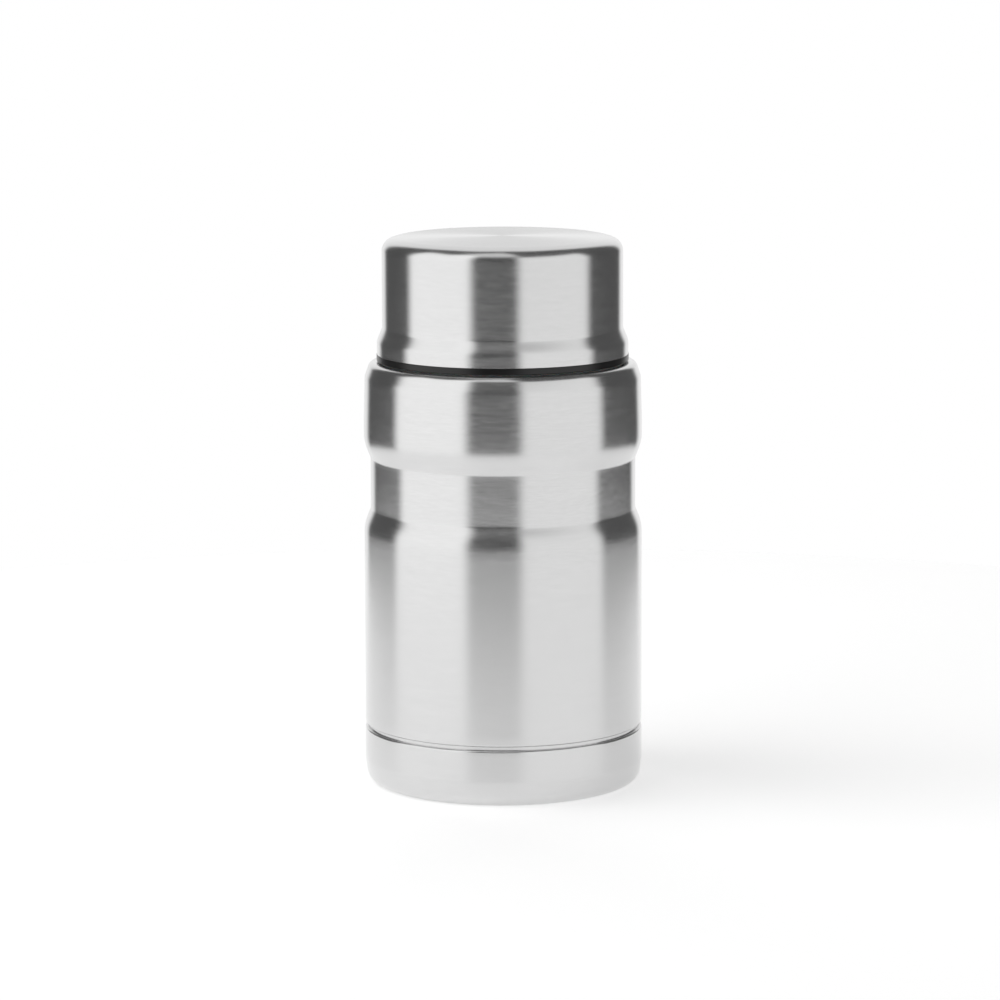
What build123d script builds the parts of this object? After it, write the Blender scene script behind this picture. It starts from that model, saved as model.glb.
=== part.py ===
from build123d import *
import os
from math import atan2, tan

# Insulated food jar, in millimetres. +Z is up, and the origin is the centre of the foot, on the
# surface that the jar stands on. Every piece is turned about the Z axis unless its comment says
# otherwise. Heights ending in _z are measured from the foot plane.

# ---------------------------------------------------------------- clearances
running_gap = 0.3       # beside pieces that turn or slide past each other
seam_gap = 0.05         # in seams that are welded, glued or pressed
foam_gap = 0.3          # round the loose foam in the stopper

# ---------------------------------------------------------------- sheet and wall thicknesses
outer_sheet = 0.45      # outer shell
base_sheet = 0.4        # base cup
liner_sheet = 0.4       # inner liner
bottom_sheet = 0.5      # disc that closes the vacuum space
lid_sheet = 0.4         # both steel cups of the lid
plug_wall = 2.0         # moulded walls of the stopper

# ---------------------------------------------------------------- outer shell, from the foot up
body_radius = 50.0      # lower body, over the steel
base_height = 20.6      # base cup, foot to lip
base_step = 0.1         # the base cup stands out past the body
groove_width = 1.3      # between the base cup's lip and the body's lip
groove_depth = 1.0      # body wall to spigot
lower_body_height = 72.5
lower_step_height = 5.6
waist_depth = 2.35      # the waist lies inside the body's wall
waist_height = 18.6
upper_step_height = 5.8
band_height = 23.4      # upper band, up to the shoulder's bend
belly_height = 6.8      # the band is straight this far, then draws in
band_taper = 0.4        # how far the band draws in at its top
shoulder_height = 5.3
shoulder_rounding = 1.8     # the shoulder's bend leans in by this much
shoulder_width = 10.0   # body wall to neck wall
neck_height = 13.3      # shoulder face to lip
spigot_lift = 8.0       # the shell's lower edge stands this far above the foot plane

lower_step_bend = 15.0
upper_step_bend = 14.0
waist_bend = 2.5        # both hollow corners of the waist
belly_bend = 220.0
band_bend = 6.0
shoulder_bend = 2.5
neck_bend = 1.0
lip_bend = 0.75         # rounded lips on both sides of the groove
groove_bend = 0.2

# ---------------------------------------------------------------- base cup
foot_lean = 1.0         # the bottom bend leans in by this much
foot_lean_height = 8.9
foot_lean_bend = 10.0
foot_bend = 4.5
foot_ring_width = 11.1  # flat ring that the jar stands on
foot_panel_rise = 1.5   # the panel inside the ring is raised
foot_panel_bend = 1.5

# ---------------------------------------------------------------- vacuum space and liner
vacuum_gap = 3.0        # waist to liner
neck_vacuum_gap = 1.15  # neck to mouth
bottom_gap = 3.5        # closing disc to liner
bottom_flange_height = 5.0
bottom_bend = 2.0
dimple_radius = 4.5
dimple_rise = 1.2
dimple_slope = 2.0
dimple_bend = 1.0
vacuum_hole_radius = 0.8
bead_radius = 3.2
bead_height = 1.1
bead_bend = 0.9
liner_bend = 8.5        # bottom corner, food side
liner_neck_height = 7.3
liner_neck_bend = 4.0
mouth_depth = 17.1      # lip to the foot of the straight mouth
mouth_bend = 1.0        # the lip is rolled over by this radius

getter_offset = 22.0    # from the axis
getter_radius = 4.5
getter_height = 2.2
getter_clip_sheet = 0.3
getter_clip_width = 4.0
getter_clip_foot = 3.0

# ---------------------------------------------------------------- screw threads, right-handed
thread_pitch = 4.0
thread_starts = 2
thread_depth = 0.9
thread_root_width = 2.2
thread_crest_width = 1.2
thread_root_overlap = 0.2       # the ridges run this far into the wall
neck_thread_foot = 3.4          # shoulder face to the middle of the lowest ridge end
neck_thread_rise = 6.4
mouth_thread_foot = 9.6         # lip down to the middle of the lowest ridge end
mouth_thread_rise = 6.0

# ---------------------------------------------------------------- lid
lid_gap = 0.5           # shoulder to collar
collar_flange_height = 2.4      # black ring under the steel rim
collar_flange_step = 0.15       # it stands out past the rim
collar_wall = 3.4       # at the rim
collar_top_gap = 0.4    # the collar's top lies above the lip by this much
rim_height = 4.7
rim_bend = 5.0
flare_height = 4.6
flare_depth = 1.9       # rim to lid wall
flare_bend = 2.0
lid_wall_height = 32.9  # top of the flare to the middle of the crown
crown_flat_radius = 20.0
crown_drop = 0.5        # the crown falls by this much towards its edge
crown_edge_width = 5.2
crown_corner_drop = 1.9
crown_bend = 400.0
crown_edge_bend = 8.0
crown_corner_bend = 4.4
lid_top_gap = 2.2       # between the two cups, at the crown
bowl_bend = 3.0
bowl_lip_bend = 1.0

lid_seal_wall = 0.8     # collar wall between its bore and the seal's groove
lid_seal_width = 1.2
lid_seal_height = 1.5
seal_bend = 0.3

# ---------------------------------------------------------------- stopper
plug_length = 16.9      # lip to the plug's open end
plug_seat_height = 1.0  # the seal's seat starts this far under the lip
plug_base_thickness = 1.5
plug_base_bend = 1.0
stopper_seal_height = 1.5
seat_gap = 0.6          # mouth wall to the neck under the flange that centres the seal
flange_inset = 0.4      # the flange lies inside the neck's wall
flange_height = 7.0
flange_rim_width = 2.8
dish_depth = 2.5
dish_slope = 0.8
flange_bend = 0.8
flute_count = 30
flute_radius = 1.8
flute_depth = 0.5
flute_foot = 1.2        # the flutes stop this far above the flange's lower face
tube_wall = 1.7

# ---------------------------------------------------------------- vent in the stopper
button_radius = 9.6
button_thickness = 2.0
button_skirt_wall = 1.2
button_skirt_height = 2.5
button_boss_wall = 1.35
button_boss_height = 3.5
button_dish_radius = 7.5
button_dish_slope = 2.0
button_dish_depth = 0.5
well_depth = 8.5
stem_radius = 2.0
stem_groove_depth = 0.4
stem_tail = 1.0         # below the clip
valve_radius = 7.0
valve_thickness = 1.4
clip_radius = 3.6
clip_thickness = 0.8
clip_slot_width = 2.6
spring_radius = 6.0     # middle of the wire
spring_wire = 0.8
spring_turns = 4.5

# ---------------------------------------------------------------- sizes that follow
lead = thread_pitch * thread_starts
half_start_angle = 180 / thread_starts

base_radius = body_radius + base_step
spigot_radius = body_radius - groove_depth
waist_radius = body_radius - waist_depth
neck_radius = body_radius - shoulder_width
mouth_radius = neck_radius - outer_sheet - neck_vacuum_gap - liner_sheet
liner_radius = waist_radius - outer_sheet - vacuum_gap - liner_sheet

body_foot_z = base_height + groove_width
lower_step_z = body_foot_z + lower_body_height
waist_foot_z = lower_step_z + lower_step_height
waist_top_z = waist_foot_z + waist_height
upper_step_z = waist_top_z + upper_step_height
band_top_z = upper_step_z + band_height
shoulder_z = band_top_z + shoulder_height
lip_z = shoulder_z + neck_height
spigot_z = spigot_lift
bottom_z = spigot_z + bottom_flange_height      # upper face of the closing disc
liner_floor_z = bottom_z + bottom_gap + liner_sheet
mouth_foot_z = lip_z - mouth_depth
liner_neck_z = mouth_foot_z - liner_neck_height
neck_thread_z = shoulder_z + neck_thread_foot
mouth_thread_z = lip_z - mouth_thread_foot

collar_bore_radius = neck_radius + thread_depth + running_gap
collar_radius = collar_bore_radius + collar_wall
rim_radius = collar_radius + 2 * seam_gap + lid_sheet
lid_radius = rim_radius - flare_depth
collar_foot_z = shoulder_z + lid_gap
rim_z = collar_foot_z + collar_flange_height
flare_z = rim_z + rim_height
lid_wall_z = flare_z + flare_height
lid_top_z = lid_wall_z + lid_wall_height
collar_top_z = lip_z + collar_top_gap
bowl_radius = collar_bore_radius + seam_gap * 2 - lid_sheet
bowl_floor_z = lid_top_z - 2 * lid_sheet - lid_top_gap      # the bowl stands on its crown when in use

plug_radius = mouth_radius - thread_depth - running_gap
plug_bore_radius = plug_radius - plug_wall
plug_foot_z = lip_z - plug_length
plug_base_z = plug_foot_z - plug_base_thickness
flange_radius = neck_radius - flange_inset
flange_z = lip_z + stopper_seal_height
stopper_top_z = flange_z + flange_height
stopper_seat_radius = mouth_radius - seat_gap
well_radius = button_radius + running_gap
well_floor_z = stopper_top_z - well_depth
tube_bore_radius = stem_radius + running_gap
tube_radius = tube_bore_radius + tube_wall
button_under_z = stopper_top_z - button_thickness
stem_bore_radius = stem_radius + seam_gap
valve_z = plug_base_z - valve_thickness
clip_z = valve_z - clip_thickness


# ---------------------------------------------------------------- shared shapes
def turned(outline, bends):
    """Solid turned about Z from a closed outline of (radius, height) corners, each with its bend."""
    edge = FilletPolyline(*outline, radius=bends, close=True)
    return revolve(Plane.XZ * make_face(edge), Axis.Z)


def turned_sheet(path, bends, thickness, side):
    """Sheet turned about Z: one face follows the path, and the sheet lies on the named side of it."""
    face_line = FilletPolyline(*path, radius=bends)
    edge = offset(face_line, amount=thickness, side=side, closed=True)
    return revolve(Plane.XZ * make_face(edge), Axis.Z)


def thread_ridges(root_radius, crest_radius, foot_z, rise, start_angle):
    """Ridges of the multi-start thread, from foot_z up, that stand on root_radius.

    A crest_radius below root_radius makes an inside thread. The ridges begin at start_angle, and
    a mating thread begins half_start_angle further on, so that its ridges run midway between.
    """
    outward = 1 if crest_radius > root_radius else -1
    sunk_radius = root_radius - outward * thread_root_overlap
    flank_slope = (thread_root_width - thread_crest_width) / 2 / thread_depth
    crest_half = thread_crest_width / 2
    sunk_half = thread_root_width / 2 + thread_root_overlap * flank_slope
    section = Plane.XZ * make_face(
        Polyline(
            (sunk_radius, foot_z - sunk_half),
            (crest_radius, foot_z - crest_half),
            (crest_radius, foot_z + crest_half),
            (sunk_radius, foot_z + sunk_half),
            close=True,
        )
    )
    centre_line = Helix(lead, rise, root_radius, center=(0, 0, foot_z))
    ridge = sweep(section, path=centre_line, is_frenet=True)
    return [
        Rot(Z=start_angle + start * 360 / thread_starts) * ridge
        for start in range(thread_starts)
    ]


# ---------------------------------------------------------------- body
def outer_shell():
    """Drawn outer wall: spigot, lower body, waist, upper band, shoulder and threaded neck."""
    belly_z = upper_step_z + belly_height
    shell = turned_sheet(
        [
            (spigot_radius, spigot_z),
            (spigot_radius, body_foot_z),
            (body_radius, body_foot_z),
            (body_radius, lower_step_z),
            (waist_radius, waist_foot_z),
            (waist_radius, waist_top_z),
            (body_radius, upper_step_z),
            (body_radius, belly_z),
            (body_radius - band_taper, band_top_z),
            (body_radius - band_taper - shoulder_rounding, shoulder_z),
            (neck_radius, shoulder_z),
            (neck_radius, lip_z - liner_sheet),
        ],
        [
            groove_bend,
            lip_bend,
            lower_step_bend,
            waist_bend,
            waist_bend,
            upper_step_bend,
            belly_bend,
            band_bend,
            shoulder_bend,
            neck_bend,
        ],
        outer_sheet,
        Side.LEFT,
    )
    return shell + thread_ridges(
        neck_radius, neck_radius + thread_depth, neck_thread_z, neck_thread_rise, 0
    )


def base_cup():
    """Cup over the bottom: its lip turns in to the spigot, and it stands on a flat foot ring."""
    foot_radius = base_radius - foot_lean
    ring_radius = foot_radius - foot_ring_width
    return turned_sheet(
        [
            (spigot_radius + seam_gap, base_height),
            (base_radius, base_height),
            (base_radius, foot_lean_height),
            (foot_radius, 0),
            (ring_radius, 0),
            (ring_radius - foot_panel_rise, foot_panel_rise),
            (0, foot_panel_rise),
        ],
        [lip_bend, foot_lean_bend, foot_bend, foot_panel_bend, foot_panel_bend],
        base_sheet,
        Side.RIGHT,
    )


def inner_liner():
    """Wall that holds the food, drawn in to the threaded mouth and rolled out over the lip."""
    liner = turned_sheet(
        [
            (0, liner_floor_z),
            (liner_radius, liner_floor_z),
            (liner_radius, liner_neck_z),
            (mouth_radius, mouth_foot_z),
            (mouth_radius, lip_z),
            (neck_radius, lip_z),
        ],
        [liner_bend, liner_neck_bend, liner_neck_bend, mouth_bend],
        liner_sheet,
        Side.RIGHT,
    )
    return liner + thread_ridges(
        mouth_radius, mouth_radius - thread_depth, mouth_thread_z, mouth_thread_rise, 0
    )


def vacuum_bottom():
    """Disc that closes the vacuum space: a flange inside the spigot and a dimple round its hole."""
    flange_outer = spigot_radius - outer_sheet - seam_gap
    return turned_sheet(
        [
            (vacuum_hole_radius, bottom_z + dimple_rise),
            (dimple_radius, bottom_z + dimple_rise),
            (dimple_radius + dimple_slope, bottom_z),
            (flange_outer, bottom_z),
            (flange_outer, spigot_z),
        ],
        [dimple_bend, dimple_bend, bottom_bend],
        bottom_sheet,
        Side.RIGHT,
    )


def vacuum_seal_bead():
    """Melted bead in the dimple, over the hole."""
    seat_z = bottom_z + dimple_rise - bottom_sheet
    return turned(
        [(0, seat_z), (bead_radius, seat_z), (bead_radius, seat_z - bead_height), (0, seat_z - bead_height)],
        [0, 0, bead_bend, 0],
    )


def getter_pellet():
    """Pellet on the closing disc, to one side of the axis."""
    return Pos(getter_offset, 0, bottom_z) * Cylinder(
        getter_radius, getter_height, align=(Align.CENTER, Align.CENTER, Align.MIN)
    )


def getter_clip():
    """Strip bent over the pellet, with a foot on the disc at each side."""
    leg = getter_radius + seam_gap
    top_z = bottom_z + getter_height
    strip_line = Polyline(
        (-leg - getter_clip_foot, bottom_z),
        (-leg, bottom_z),
        (-leg, top_z),
        (leg, top_z),
        (leg, bottom_z),
        (leg + getter_clip_foot, bottom_z),
    )
    strip = make_face(
        offset(strip_line, amount=getter_clip_sheet, side=Side.LEFT, closed=True, kind=Kind.INTERSECTION)
    )
    return Pos(getter_offset, 0, 0) * extrude(Plane.XZ * strip, getter_clip_width / 2, both=True)


# ---------------------------------------------------------------- lid
def lid_outer_cup():
    """Steel outside of the lid: rim, flare, straight wall and a faintly domed crown."""
    return turned_sheet(
        [
            (rim_radius, rim_z),
            (rim_radius, flare_z),
            (lid_radius, lid_wall_z),
            (lid_radius, lid_top_z - crown_corner_drop),
            (lid_radius - crown_edge_width, lid_top_z - crown_drop),
            (crown_flat_radius, lid_top_z),
            (0, lid_top_z),
        ],
        [rim_bend, flare_bend, crown_corner_bend, crown_edge_bend, crown_bend],
        lid_sheet,
        Side.LEFT,
    )


def lid_inner_cup():
    """Steel bowl inside the lid, with a lip that rests on the collar's top."""
    return turned_sheet(
        [
            (0, bowl_floor_z),
            (bowl_radius, bowl_floor_z),
            (bowl_radius, collar_top_z),
            (lid_radius - lid_sheet - seam_gap, collar_top_z),
        ],
        [bowl_bend, bowl_lip_bend],
        lid_sheet,
        Side.LEFT,
    )


def lid_collar():
    """Moulded ring with the lid's thread: its flange shows under the rim, and a groove holds the seal."""
    inset = lid_sheet + 2 * seam_gap
    corner_shift = inset * tan(atan2(flare_depth, flare_height) / 2)
    flange_outer = rim_radius + collar_flange_step
    groove_inner = collar_bore_radius + lid_seal_wall
    groove_outer = groove_inner + lid_seal_width + 2 * running_gap
    groove_top_z = shoulder_z + lid_seal_height
    ring = turned(
        [
            (collar_bore_radius, collar_foot_z),
            (groove_inner, collar_foot_z),
            (groove_inner, groove_top_z),
            (groove_outer, groove_top_z),
            (groove_outer, collar_foot_z),
            (flange_outer, collar_foot_z),
            (flange_outer, rim_z),
            (collar_radius, rim_z),
            (collar_radius, flare_z - corner_shift),
            (lid_radius - inset, lid_wall_z - corner_shift),
            (lid_radius - inset, collar_top_z),
            (collar_bore_radius, collar_top_z),
        ],
        [0, 0, 0, 0, 0, seal_bend, seal_bend, 0, rim_bend - inset, flare_bend + inset, 0, 0],
    )
    return ring + thread_ridges(
        collar_bore_radius,
        collar_bore_radius - thread_depth,
        neck_thread_z,
        neck_thread_rise,
        half_start_angle,
    )


def lid_seal():
    """Silicone ring in the collar's groove, resting on the shoulder."""
    inner = collar_bore_radius + lid_seal_wall + running_gap
    outer = inner + lid_seal_width
    top_z = shoulder_z + lid_seal_height
    return turned(
        [(inner, shoulder_z), (outer, shoulder_z), (outer, top_z), (inner, top_z)],
        [seal_bend, seal_bend, seal_bend, seal_bend],
    )


# ---------------------------------------------------------------- stopper
def stopper_body():
    """Moulded plug: threaded wall, fluted flange, button well and the tube for the vent's stem."""
    well_outer = well_radius + plug_wall
    deck_z = stopper_top_z - dish_depth
    rim_inner = flange_radius - flange_rim_width
    plug = turned(
        [
            (plug_bore_radius, plug_foot_z),
            (plug_radius, plug_foot_z),
            (plug_radius, lip_z - plug_seat_height),
            (stopper_seat_radius, lip_z - plug_seat_height),
            (stopper_seat_radius, flange_z),
            (flange_radius, flange_z),
            (flange_radius, stopper_top_z),
            (rim_inner, stopper_top_z),
            (rim_inner - dish_slope, deck_z),
            (well_outer + dish_slope, deck_z),
            (well_outer, stopper_top_z),
            (well_radius, stopper_top_z),
            (well_radius, well_floor_z),
            (tube_bore_radius, well_floor_z),
            (tube_bore_radius, plug_foot_z),
            (tube_radius, plug_foot_z),
            (tube_radius, well_floor_z - plug_wall),
            (well_outer, well_floor_z - plug_wall),
            (well_outer, deck_z - plug_wall),
            (plug_bore_radius, deck_z - plug_wall),
        ],
        [0, 0, 0, 0, 0, seal_bend, flange_bend, flange_bend, flange_bend, flange_bend]
        + [flange_bend, seal_bend, 0, 0, 0, 0, 0, 0, 0, 0],
    )
    plug += thread_ridges(
        plug_radius, plug_radius + thread_depth, mouth_thread_z, mouth_thread_rise, half_start_angle
    )
    flute = Cylinder(flute_radius, flange_height, align=(Align.CENTER, Align.CENTER, Align.MIN))
    flute_ring = PolarLocations(flange_radius + flute_radius - flute_depth, flute_count)
    return plug - [Pos(0, 0, flange_z + flute_foot) * place * flute for place in flute_ring]


def stopper_foam():
    """Moulded foam that fills the plug round its well and tube."""
    inner = tube_radius + foam_gap
    outer = plug_bore_radius - foam_gap
    step_radius = well_radius + plug_wall + foam_gap
    step_z = well_floor_z - plug_wall - foam_gap
    top_z = stopper_top_z - dish_depth - plug_wall - foam_gap
    return turned(
        [
            (inner, plug_foot_z),
            (outer, plug_foot_z),
            (outer, top_z),
            (step_radius, top_z),
            (step_radius, step_z),
            (inner, step_z),
        ],
        [0, 0, 0, 0, 0, 0],
    )


def stopper_base():
    """Moulded disc welded over the plug's open end, with the hole that the valve closes."""
    return turned(
        [
            (tube_bore_radius, plug_base_z),
            (plug_radius, plug_base_z),
            (plug_radius, plug_foot_z),
            (tube_bore_radius, plug_foot_z),
        ],
        [0, plug_base_bend, 0, 0],
    )


def stopper_seal():
    """Silicone ring between the steel lip and the stopper's flange."""
    inner = stopper_seat_radius + running_gap
    return turned(
        [(inner, lip_z), (flange_radius, lip_z), (flange_radius, flange_z), (inner, flange_z)],
        [0, seal_bend, seal_bend, 0],
    )


# ---------------------------------------------------------------- vent
def vent_button():
    """Button in the stopper's well: a dished cap with a skirt, and a boss that grips the stem."""
    boss_radius = stem_bore_radius + button_boss_wall
    skirt_inner = button_radius - button_skirt_wall
    dish_floor_radius = button_dish_radius - button_dish_slope
    return turned(
        [
            (0, button_under_z),
            (stem_bore_radius, button_under_z),
            (stem_bore_radius, button_under_z - button_boss_height),
            (boss_radius, button_under_z - button_boss_height),
            (boss_radius, button_under_z),
            (skirt_inner, button_under_z),
            (skirt_inner, button_under_z - button_skirt_height),
            (button_radius, button_under_z - button_skirt_height),
            (button_radius, stopper_top_z),
            (button_dish_radius, stopper_top_z),
            (dish_floor_radius, stopper_top_z - button_dish_depth),
            (0, stopper_top_z - button_dish_depth),
        ],
        [0, 0, 0, 0, 0, 0, 0, 0, seal_bend, button_dish_slope, button_dish_slope, 0],
    )


def vent_stem():
    """Rod from the button's boss down through the tube, with a groove for the clip."""
    groove_radius = stem_radius - stem_groove_depth
    tail_z = clip_z - stem_tail
    return turned(
        [
            (0, tail_z),
            (stem_radius, tail_z),
            (stem_radius, clip_z),
            (groove_radius, clip_z),
            (groove_radius, valve_z),
            (stem_radius, valve_z),
            (stem_radius, button_under_z),
            (0, button_under_z),
        ],
        [0, seal_bend, 0, 0, 0, 0, 0, 0],
    )


def vent_valve():
    """Silicone disc that the spring holds against the stopper's base."""
    return turned(
        [
            (stem_bore_radius, valve_z),
            (valve_radius, valve_z),
            (valve_radius, plug_base_z),
            (stem_bore_radius, plug_base_z),
        ],
        [0, seal_bend, 0, 0],
    )


def vent_clip():
    """Open retaining ring in the stem's groove, under the valve."""
    ring_bore = stem_radius - stem_groove_depth + seam_gap
    align = (Align.CENTER, Align.CENTER, Align.MIN)
    ring = Cylinder(clip_radius, clip_thickness, align=align)
    ring -= Cylinder(ring_bore, clip_thickness, align=align)
    slot = Box(clip_radius, clip_slot_width, clip_thickness, align=(Align.MIN, Align.CENTER, Align.MIN))
    return Pos(0, 0, clip_z) * (ring - slot)


def vent_spring():
    """Coil spring between the well's floor and the button, with both ends ground flat."""
    free_height = button_under_z - well_floor_z
    coil_line = Helix(free_height / spring_turns, free_height, spring_radius, center=(0, 0, well_floor_z))
    wire = Plane(origin=coil_line @ 0, z_dir=coil_line % 0) * Circle(spring_wire / 2)
    coil = sweep(wire, path=coil_line, is_frenet=True)
    ground_slab = Cylinder(
        spring_radius + spring_wire, free_height, align=(Align.CENTER, Align.CENTER, Align.MIN)
    )
    return coil & (Pos(0, 0, well_floor_z) * ground_slab)


# ---------------------------------------------------------------- one STEP file for each piece
pieces = [
    outer_shell,
    base_cup,
    inner_liner,
    vacuum_bottom,
    vacuum_seal_bead,
    getter_pellet,
    getter_clip,
    lid_outer_cup,
    lid_inner_cup,
    lid_collar,
    lid_seal,
    stopper_body,
    stopper_foam,
    stopper_base,
    stopper_seal,
    vent_button,
    vent_stem,
    vent_valve,
    vent_clip,
    vent_spring,
]

os.makedirs("parts", exist_ok=True)
for piece in pieces:
    export_step(piece(), f"parts/{piece.__name__}.step")
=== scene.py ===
"""Looks of an insulated food jar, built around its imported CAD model.

Sizes of the pieces and finishes are given in millimetres, the pieces' with the names they have in the
jar's own source. Meshes, nodes and the studio are in metres. +Z is up along the axis, -Y is the front.
"""

import logging
import math
from collections.abc import Callable, Sequence
from dataclasses import dataclass
from enum import Enum

import bpy
import numpy as np
from mathutils import Matrix


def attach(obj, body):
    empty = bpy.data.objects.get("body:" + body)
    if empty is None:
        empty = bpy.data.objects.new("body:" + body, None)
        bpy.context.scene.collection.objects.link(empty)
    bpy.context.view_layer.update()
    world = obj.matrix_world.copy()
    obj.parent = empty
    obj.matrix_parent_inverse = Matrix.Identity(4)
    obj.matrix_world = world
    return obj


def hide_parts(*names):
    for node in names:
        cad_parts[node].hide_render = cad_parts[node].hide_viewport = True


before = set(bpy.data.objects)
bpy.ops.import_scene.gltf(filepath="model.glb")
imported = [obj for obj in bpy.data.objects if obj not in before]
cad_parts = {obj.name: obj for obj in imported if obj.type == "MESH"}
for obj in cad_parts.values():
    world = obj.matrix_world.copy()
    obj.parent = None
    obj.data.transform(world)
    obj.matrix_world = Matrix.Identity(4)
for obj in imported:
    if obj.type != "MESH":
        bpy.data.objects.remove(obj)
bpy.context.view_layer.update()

MM = 0.001
TAU = 2 * math.pi

ARC_STEP = math.radians(7.5)  # turn between two points on a bend
ARC_RUN = 0.06  # shortest step on a bend
RUN_STEP = 1.5  # longest step along a visible wall
WALL_STEP = 3.0  # longest step along a long straight wall
THREAD_STEP = 0.25  # step along a wall that carries a thread
HIDDEN_STEP = 4.0  # step on faces that nobody sees
AXIS_TOLERANCE = 1e-6
SAME_PLACE = 1e-5  # points closer than this count as one
WALL_TOLERANCE = 1e-3  # distance from a wall that still counts as on it
SHARP_EDGE = math.radians(32)

Corner = tuple[float, float, float]  # radius, height and bend
Relief = Callable[[np.ndarray, np.ndarray, np.ndarray], np.ndarray]
Piece = bpy.types.Object
Tree = bpy.types.NodeTree
Socket = bpy.types.NodeSocket

log = logging.getLogger("food_jar")


# ---------------------------------------------------------------- names
class Slot(Enum):
    """Material slots of the record."""

    BRUSHED = "brushed_steel"
    SATIN = "satin_steel"
    MILL = "mill_steel"
    SPRING = "spring_steel"
    BLACK = "black_plastic"
    GREY = "grey_plastic"
    SILICONE = "silicone"
    FOAM = "white_foam"
    SOLDER = "solder"
    GETTER = "getter_metal"


class Body(Enum):
    """Bodies that the pieces ride on."""

    JAR = "jar"
    LID_GASKET = "lid_gasket"
    LID = "lid"
    STOPPER_GASKET = "stopper_gasket"
    STOPPER = "stopper"
    VENT = "vent"


class Side(Enum):
    """Side of a path, seen along it, that a sheet lies on."""

    LEFT = 1.0
    RIGHT = -1.0


# ---------------------------------------------------------------- profiles
def rounded_path(corners: Sequence[Corner], steps: float | Sequence[float]) -> tuple[np.ndarray, np.ndarray]:
    """Straight runs joined by tangent arcs, as points with their left-hand normals.

    An arc of radius b at a corner that turns by t starts and ends b * tan(t / 2) from the corner.

    Args:
        corners: Radius, height and bend of each corner. The bends of both ends are ignored.
        steps: Longest step along the runs, or one for each run.

    Returns:
        Points and unit normals, each an array of rows (radius, height).
    """
    places = np.array([corner[:2] for corner in corners], float)
    runs = np.diff(places, axis=0)
    ways = runs / np.hypot(runs[:, 0], runs[:, 1])[:, None]
    run_steps = np.broadcast_to(np.asarray(steps, float), len(runs))
    points, normals = [], []
    start = places[0]
    for number in range(1, len(places)):
        way = ways[number - 1]
        left = np.array([-way[1], way[0]])
        last = number == len(places) - 1
        turn = 0.0 if last else math.atan2(
            way[0] * ways[number][1] - way[1] * ways[number][0], float(way @ ways[number])
        )
        bend = 0.0 if last else corners[number][2]
        end = places[number] - way * bend * math.tan(abs(turn) / 2)
        count = max(1, math.ceil(np.hypot(*(end - start)) / run_steps[number - 1]))
        along = np.linspace(0, 1, count + 1)[:, None]
        points.append(start + (end - start) * along)
        normals.append(np.broadcast_to(left, (count + 1, 2)))
        start = end
        if bend > 0 and turn:
            hand = math.copysign(1.0, turn)
            length = bend * abs(turn)
            fine = min(math.ceil(abs(turn) / ARC_STEP), math.ceil(length / ARC_RUN))
            arcs = max(2, fine, math.ceil(length / RUN_STEP))
            swing = np.linspace(0, turn, arcs + 1)[1:-1]
            cosine, sine = np.cos(swing), np.sin(swing)
            turned = np.stack([left[0] * cosine - left[1] * sine, left[0] * sine + left[1] * cosine], axis=1)
            centre = end + left * hand * bend
            points.append(centre - turned * hand * bend)
            normals.append(turned)
            start = places[number] + ways[number] * bend * math.tan(abs(turn) / 2)
    return np.concatenate(points), np.concatenate(normals)


def sheet_outline(
    corners: Sequence[Corner], sheet: float, side: Side, steps: float | Sequence[float]
) -> np.ndarray:
    """Closed outline of a bent sheet: one face follows the path, the other lies one thickness aside.

    Args:
        corners: Path of the visible face.
        sheet: Thickness.
        side: Side of the path that the sheet lies on.
        steps: Longest step along the runs of the path, or one for each run.

    Returns:
        Rows (radius, height) round the section.
    """
    points, normals = rounded_path(corners, steps)
    back = points + normals * sheet * side.value
    return tidy_outline(np.concatenate([points, back[::-1]]))


def ring_outline(corners: Sequence[Corner], steps: float | Sequence[float] = RUN_STEP) -> np.ndarray:
    """Closed outline of a moulded ring or disc, with every corner rounded by its bend.

    Args:
        corners: Corners round the section.
        steps: Longest step along the runs, or one for each run, with the closing run in two halves.

    Returns:
        Rows (radius, height) round the section.
    """
    first, last = corners[0], corners[-1]
    middle = ((first[0] + last[0]) / 2, (first[1] + last[1]) / 2, 0.0)
    points, _ = rounded_path([middle, *corners, middle], steps)
    return tidy_outline(points)


def tidy_outline(points: np.ndarray) -> np.ndarray:
    """Outline without repeated points, run anticlockwise so that its faces point outwards.

    Args:
        points: Rows (radius, height) round a section.

    Returns:
        The same section with each place once.
    """
    apart = np.hypot(*(points - np.roll(points, 1, axis=0)).T) > SAME_PLACE
    points = points[apart]
    ahead = np.roll(points, -1, axis=0)
    area = float(np.sum(points[:, 0] * ahead[:, 1] - ahead[:, 0] * points[:, 1]))
    return points if area > 0 else points[::-1]


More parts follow.
